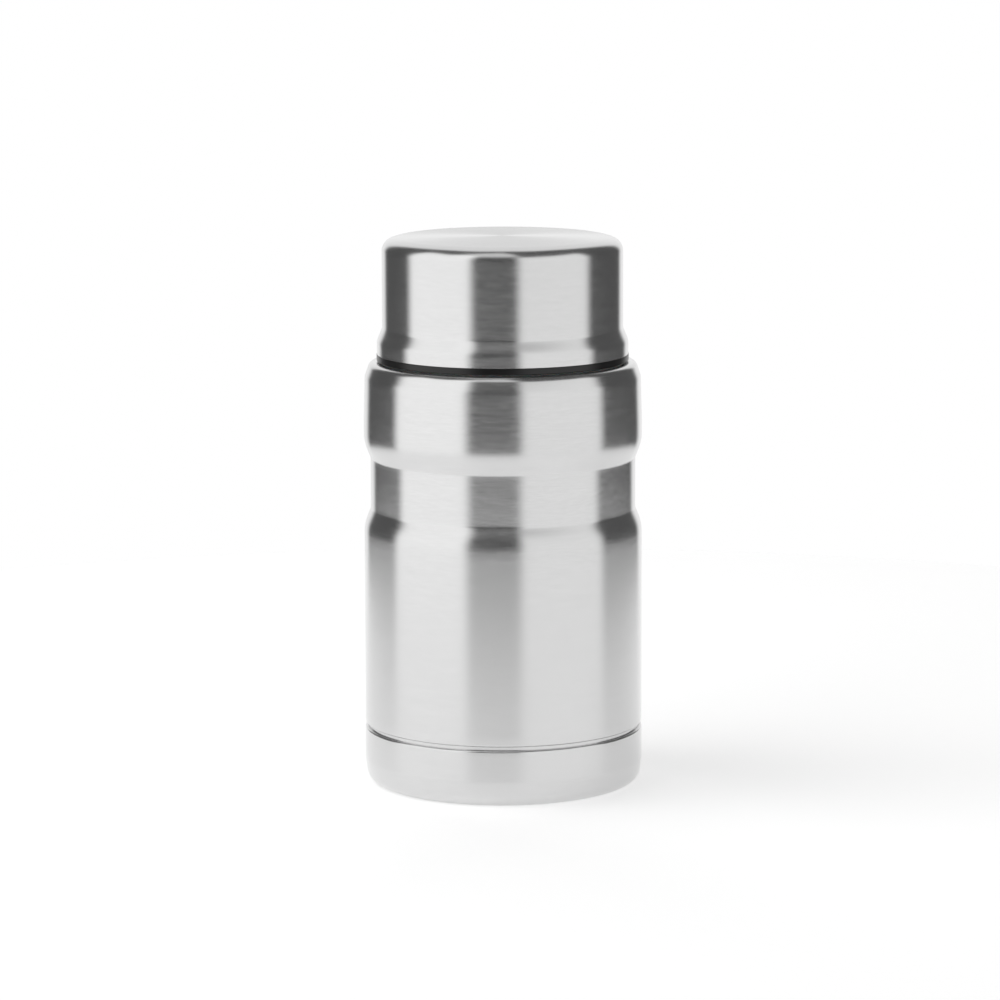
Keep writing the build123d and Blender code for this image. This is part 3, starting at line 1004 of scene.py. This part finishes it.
@dataclass
class Stopper(SubAssembly):
    """Moulded screw plug with a fluted flange, foam inside and a welded base."""

    lip_z: float = 166.4
    plug_radius: float = 36.8
    plug_bore_radius: float = 34.8
    plug_foot_z: float = 149.5
    plug_base_z: float = 148.0
    seat_radius: float = 37.4
    flange_radius: float = 39.6
    flange_z: float = 167.9
    top_z: float = 174.9
    deck_z: float = 172.4
    well_radius: float = 9.9
    well_floor_z: float = 166.4
    tube_bore_radius: float = 2.3
    tube_radius: float = 4.0
    plug_wall: float = 2.0
    foam_gap: float = 0.3
    around: int = 360
    disc_around: int = 192
    foam_around: int = 96

    def plug(self) -> Piece:
        """Threaded wall, fluted flange, dished top and the button's well."""
        well_outer = self.well_radius + self.plug_wall
        rim_inner = self.flange_radius - 2.8
        seat_z = self.lip_z - 1.0
        edge = 0.15
        bend = 0.8
        corners = [
            (self.plug_bore_radius, self.plug_foot_z, 0),
            (self.plug_radius, self.plug_foot_z, 0),
            (self.plug_radius, seat_z, 0),
            (self.seat_radius, seat_z, edge),
            (self.seat_radius, self.flange_z, edge),
            (self.flange_radius, self.flange_z, 0.3),
            (self.flange_radius, self.top_z, bend),
            (rim_inner, self.top_z, bend),
            (rim_inner - bend, self.deck_z, bend),
            (well_outer + bend, self.deck_z, bend),
            (well_outer, self.top_z, bend),
            (self.well_radius, self.top_z, 0.3),
            (self.well_radius, self.well_floor_z, edge),
            (self.tube_bore_radius, self.well_floor_z, edge),
            (self.tube_bore_radius, self.plug_foot_z, 0),
            (self.tube_radius, self.plug_foot_z, 0),
            (self.tube_radius, self.well_floor_z - self.plug_wall, 0),
            (well_outer, self.well_floor_z - self.plug_wall, 0),
            (well_outer, self.deck_z - self.plug_wall, 0),
            (self.plug_bore_radius, self.deck_z - self.plug_wall, 0),
        ]
        flange_step, flute_step = 1.0, 0.5
        shown = [THREAD_STEP, flange_step, flange_step, flange_step, flute_step]
        steps = [HIDDEN_STEP, HIDDEN_STEP, *shown] + [HIDDEN_STEP] * (len(corners) - 6)
        outline = ring_outline(corners, steps)
        thread = ScrewThread(self.plug_radius, foot=156.8, rise=6.0, start_angle=90.0)
        flutes = Flutes(self.flange_radius, count=30, radius=1.8, depth=0.5, foot=self.flange_z + 1.2)

        def relief(radius: np.ndarray, height: np.ndarray, angle: np.ndarray) -> np.ndarray:
            """Thread on the wall and flutes in the flange."""
            return thread.relief(radius, height, angle) + flutes.relief(radius, height, angle)

        return turned_piece("stopper_plug", outline, self.around, relief)

    def foam(self) -> Piece:
        """Foam round the well and the tube."""
        inner = self.tube_radius + self.foam_gap
        outer = self.plug_bore_radius - self.foam_gap
        step_radius = self.well_radius + self.plug_wall + self.foam_gap
        step_z = self.well_floor_z - self.plug_wall - self.foam_gap
        top = self.deck_z - self.plug_wall - self.foam_gap
        bend = 0.8
        corners = [
            (inner, self.plug_foot_z, 0),
            (outer, self.plug_foot_z, 0),
            (outer, top, bend),
            (step_radius, top, bend),
            (step_radius, step_z, 0),
            (inner, step_z, 0),
        ]
        return turned_piece("foam_ring", ring_outline(corners, HIDDEN_STEP), self.foam_around)

    def base(self) -> Piece:
        """Disc over the plug's open end, with a welding ring and the hole for the vent's stem."""
        corners = [
            (self.tube_bore_radius, self.plug_base_z, 0.15),
            (self.plug_radius, self.plug_base_z, 1.0),
            (self.plug_radius, self.plug_foot_z, 0),
            (self.tube_bore_radius, self.plug_foot_z, 0),
        ]
        return turned_piece("stopper_disc", ring_outline(corners), self.disc_around)

    def seal(self) -> Piece:
        """Silicone ring between the steel lip and the flange."""
        inner = self.seat_radius + 0.3
        corners = [
            (inner, self.lip_z, 0.15),
            (self.flange_radius, self.lip_z, 0.3),
            (self.flange_radius, self.flange_z, 0.3),
            (inner, self.flange_z, 0.15),
        ]
        return turned_piece("stopper_seal_ring", ring_outline(corners), self.disc_around)

    def build(self) -> list[Piece]:
        """Makes the stopper's pieces."""
        return [
            self.place(self.plug(), Body.STOPPER, BLACK_PLASTIC, "stopper_body"),
            self.place(self.foam(), Body.STOPPER, WHITE_FOAM, "stopper_foam"),
            self.place(self.base(), Body.STOPPER, BLACK_PLASTIC, "stopper_base"),
            self.place(self.seal(), Body.STOPPER_GASKET, SILICONE, "stopper_seal"),
            self.dress("vent_spring", SPRING_STEEL),
        ]


@dataclass
class Vent(SubAssembly):
    """Pressure release: a dished button on a stem that lifts a silicone valve off the base."""

    top_z: float = 174.9
    under_z: float = 172.9
    button_radius: float = 9.6
    dish_radius: float = 7.5
    stem_radius: float = 2.0
    groove_radius: float = 1.6
    stem_bore_radius: float = 2.05
    valve_radius: float = 7.0
    plug_base_z: float = 148.0
    valve_z: float = 146.6
    clip_z: float = 145.8
    tail_z: float = 144.8
    button_around: int = 192
    rod_around: int = 96
    valve_around: int = 128

    def button(self) -> Piece:
        """Dished cap with a skirt and a boss for the stem."""
        edge = 0.15
        boss = self.stem_bore_radius + 1.35
        skirt_inner = self.button_radius - 1.2
        boss_foot = self.under_z - 3.5
        skirt_foot = self.under_z - 2.5
        dish_z = self.top_z - 0.5
        step = 0.5
        corners = [
            (0, self.under_z, 0),
            (self.stem_bore_radius, self.under_z, 0),
            (self.stem_bore_radius, boss_foot, edge),
            (boss, boss_foot, edge),
            (boss, self.under_z, edge),
            (skirt_inner, self.under_z, edge),
            (skirt_inner, skirt_foot, edge),
            (self.button_radius, skirt_foot, edge),
            (self.button_radius, self.top_z, 0.45),
            (self.dish_radius, self.top_z, 2.0),
            (self.dish_radius - 2.0, dish_z, 2.0),
            (0, dish_z, 0),
        ]
        points, _ = rounded_path(corners, step)
        return turned_piece("button_cap", tidy_outline(points), self.button_around)

    def stem(self) -> Piece:
        """Rod with a groove for the clip."""
        edge = 0.05
        corners = [
            (0, self.tail_z, 0),
            (self.stem_radius, self.tail_z, 0.3),
            (self.stem_radius, self.clip_z, edge),
            (self.groove_radius, self.clip_z, edge),
            (self.groove_radius, self.valve_z, edge),
            (self.stem_radius, self.valve_z, edge),
            (self.stem_radius, self.under_z, 0),
            (0, self.under_z, 0),
        ]
        points, _ = rounded_path(corners, RUN_STEP)
        return turned_piece("vent_rod", tidy_outline(points), self.rod_around)

    def valve(self) -> Piece:
        """Silicone disc that closes the hole in the base."""
        corners = [
            (self.stem_bore_radius, self.valve_z, 0.1),
            (self.valve_radius, self.valve_z, 0.45),
            (self.valve_radius, self.plug_base_z, 0.2),
            (self.stem_bore_radius, self.plug_base_z, 0.1),
        ]
        step = 0.8
        return turned_piece("valve_disc", ring_outline(corners, step), self.valve_around)

    def build(self) -> list[Piece]:
        """Makes the vent's pieces."""
        return [
            self.place(self.button(), Body.VENT, GREY_PLASTIC, "vent_button"),
            self.place(self.stem(), Body.VENT, GREY_PLASTIC, "vent_stem"),
            self.place(self.valve(), Body.VENT, SILICONE, "vent_valve"),
            self.dress("vent_clip", SPRING_STEEL),
        ]


# ---------------------------------------------------------------- studio
@dataclass(frozen=True)
class SoftBox:
    """Even soft light between two bearings and two rises, in degrees.

    A bearing of 0 is in front, where the camera stands, and 90 is to its right. A rise is measured
    from the horizon.
    """

    first: float
    last: float
    low: float
    high: float
    radiance: float


@dataclass
class Studio:
    """Round white table, four soft boxes, a side lamp and the camera."""

    soft_boxes: tuple[SoftBox, ...] = (
        SoftBox(-100, -30, -20, 50, 1.1),  # large box at the left
        SoftBox(15, 90, -20, 40, 0.9),  # box at the right
        SoftBox(-60, 20, 45, 90, 0.7),  # box over the camera
        SoftBox(150, 210, -20, 70, 0.85),  # pale backdrop
    )
    box_edge: float = 12.0  # degrees over which each box fades
    room: float = 0.1
    table_white: float = 0.53  # the table's own white, besides the light that falls on it
    table_tint: str = "DDDDDD"
    table_radius: float = 0.5  # metres, as are the lamp's and the camera's places
    table_sides: int = 128
    lamp_size: float = 0.9
    lamp_distance: float = 1.5
    lamp_bearing: float = -90.0  # degrees, as is its rise
    lamp_rise: float = 60.0
    lamp_power: float = 5.0  # watts
    camera_side: float = -0.0011
    camera_distance: float = 1.6342
    camera_height: float = 0.3622
    camera_pitch: float = 9.032  # degrees down
    camera_roll: float = -0.17  # degrees
    focal: float = 165.14  # millimetres, as is the sensor
    sensor: float = 36.0

    def camera(self) -> None:
        """Camera in front of the jar, looking a little down."""
        data = bpy.data.cameras.new("camera")
        data.sensor_width = self.sensor
        data.lens = self.focal
        camera = bpy.data.objects.new("camera", data)
        pitch = Matrix.Rotation(math.radians(90 - self.camera_pitch), 4, "X")
        roll = Matrix.Rotation(math.radians(self.camera_roll), 4, "Z")
        place = Matrix.Translation((self.camera_side, -self.camera_distance, self.camera_height))
        camera.matrix_world = place @ pitch @ roll
        bpy.context.scene.collection.objects.link(camera)
        bpy.context.scene.camera = camera

    def ramp(self, tree: Tree, value: Socket, middle: float, width: float) -> Socket:
        """Share that eases from 0 to 1 as a value passes a middle.

        Args:
            tree: Node tree.
            value: The value, in degrees.
            middle: Where the share is a half.
            width: Degrees that the easing takes. A negative width eases from 1 to 0.

        Returns:
            The output socket.
        """
        low, high = middle - abs(width) / 2, middle + abs(width) / 2
        ends = (0.0, 1.0) if width > 0 else (1.0, 0.0)
        return add_node(
            tree,
            "MapRange",
            {"interpolation_type": "SMOOTHSTEP"},
            Value=value,
            From_Min=low,
            From_Max=high,
            To_Min=ends[0],
            To_Max=ends[1],
        ).outputs["Result"]

    def soft_light(self, tree: Tree, way: Socket) -> Socket:
        """Radiance of the soft boxes and the dim room.

        Args:
            tree: Node tree.
            way: Unit direction that is looked in.

        Returns:
            The output socket.
        """
        parts = add_node(tree, "SeparateXYZ", in0=way).outputs
        turn = maths(tree, "ARCTAN2", parts["X"], maths(tree, "MULTIPLY", parts["Y"], -1.0))
        bearing = maths(tree, "DEGREES", turn)
        rise = maths(tree, "DEGREES", maths(tree, "ARCSINE", parts["Z"]))
        total = self.room
        for box in self.soft_boxes:
            middle, half = (box.first + box.last) / 2, (box.last - box.first) / 2
            off = maths(tree, "WRAP", maths(tree, "SUBTRACT", bearing, middle), 180.0, -180.0)
            light = box.radiance
            for share in (
                self.ramp(tree, off, -half, self.box_edge),
                self.ramp(tree, off, half, -self.box_edge),
                self.ramp(tree, rise, box.low, self.box_edge),
                self.ramp(tree, rise, box.high, -self.box_edge),
            ):
                light = maths(tree, "MULTIPLY", share, light)
            total = maths(tree, "ADD", light, total)
        return total

    def table(self) -> None:
        """Plain round white table with the jar's shadow on it, the same to the camera and to metal."""
        turn = np.arange(self.table_sides) * (TAU / self.table_sides)
        rim = np.stack([np.cos(turn), np.sin(turn), np.zeros(self.table_sides)], axis=1) * self.table_radius
        mesh = bpy.data.meshes.new("table")
        mesh.from_pydata(rim.tolist(), [], [tuple(range(self.table_sides))])
        table = bpy.data.objects.new("table", mesh)
        bpy.context.scene.collection.objects.link(table)
        material, tree = new_material("white_table")
        path = add_node(tree, "LightPath").outputs
        seen = maths(tree, "MAXIMUM", path["Is Camera Ray"], path["Is Glossy Ray"])
        white = maths(tree, "MULTIPLY", seen, self.table_white)
        glow = add_node(tree, "Emission", Color=(1, 1, 1, 1), Strength=white)
        shade = add_node(tree, "BsdfDiffuse", Color=linear(self.table_tint))
        lit = add_node(tree, "AddShader", in0=glow.outputs[0], in1=shade.outputs[0])
        add_node(tree, "OutputMaterial", Surface=lit.outputs[0])
        table.data.materials.append(material)

    def light(self) -> None:
        """World that is white to the camera, and elsewhere a dim room with soft boxes round it."""
        world = bpy.data.worlds.new("studio")
        world.use_nodes = True
        tree = world.node_tree
        tree.nodes.clear()
        way = add_node(tree, "TexCoord").outputs["Generated"]
        total = self.soft_light(tree, way)
        path = add_node(tree, "LightPath").outputs
        strength = add_node(
            tree, "Mix", {"data_type": "FLOAT"}, Factor=path["Is Camera Ray"], A=total, B=1.0
        ).outputs["Result"]
        background = add_node(tree, "Background", Color=(1, 1, 1, 1), Strength=strength)
        add_node(tree, "OutputWorld", Surface=background.outputs[0])
        bpy.context.scene.world = world

    def lamp(self) -> None:
        """Large soft lamp at the left, not seen in metal, which lays the jar's shadow on the table."""
        data = bpy.data.lights.new("side_lamp", "AREA")
        data.shape = "DISK"
        data.size = self.lamp_size
        data.energy = self.lamp_power
        lamp = bpy.data.objects.new("side_lamp", data)
        lamp.visible_glossy = False
        turn = Matrix.Rotation(math.radians(self.lamp_bearing), 4, "Z")
        tilt = Matrix.Rotation(math.radians(90 - self.lamp_rise), 4, "X")
        lamp.matrix_world = turn @ tilt @ Matrix.Translation((0, 0, self.lamp_distance))
        bpy.context.scene.collection.objects.link(lamp)

    def build(self) -> None:
        """Makes the studio."""
        bpy.context.scene.view_settings.view_transform = "Standard"
        self.camera()
        self.table()
        self.light()
        self.lamp()


def main() -> None:
    """Builds the studio and the sub-assemblies in order, and reports each piece."""
    logging.basicConfig(level=logging.INFO, format="%(name)s: %(message)s")
    Studio().build()
    for group in (Jar(), Lid(), Stopper(), Vent()):
        for piece in group.build():
            log.info("%s: %s, %d faces", type(group).__name__, piece.name, len(piece.data.polygons))


if __name__ == "__main__":
    main()
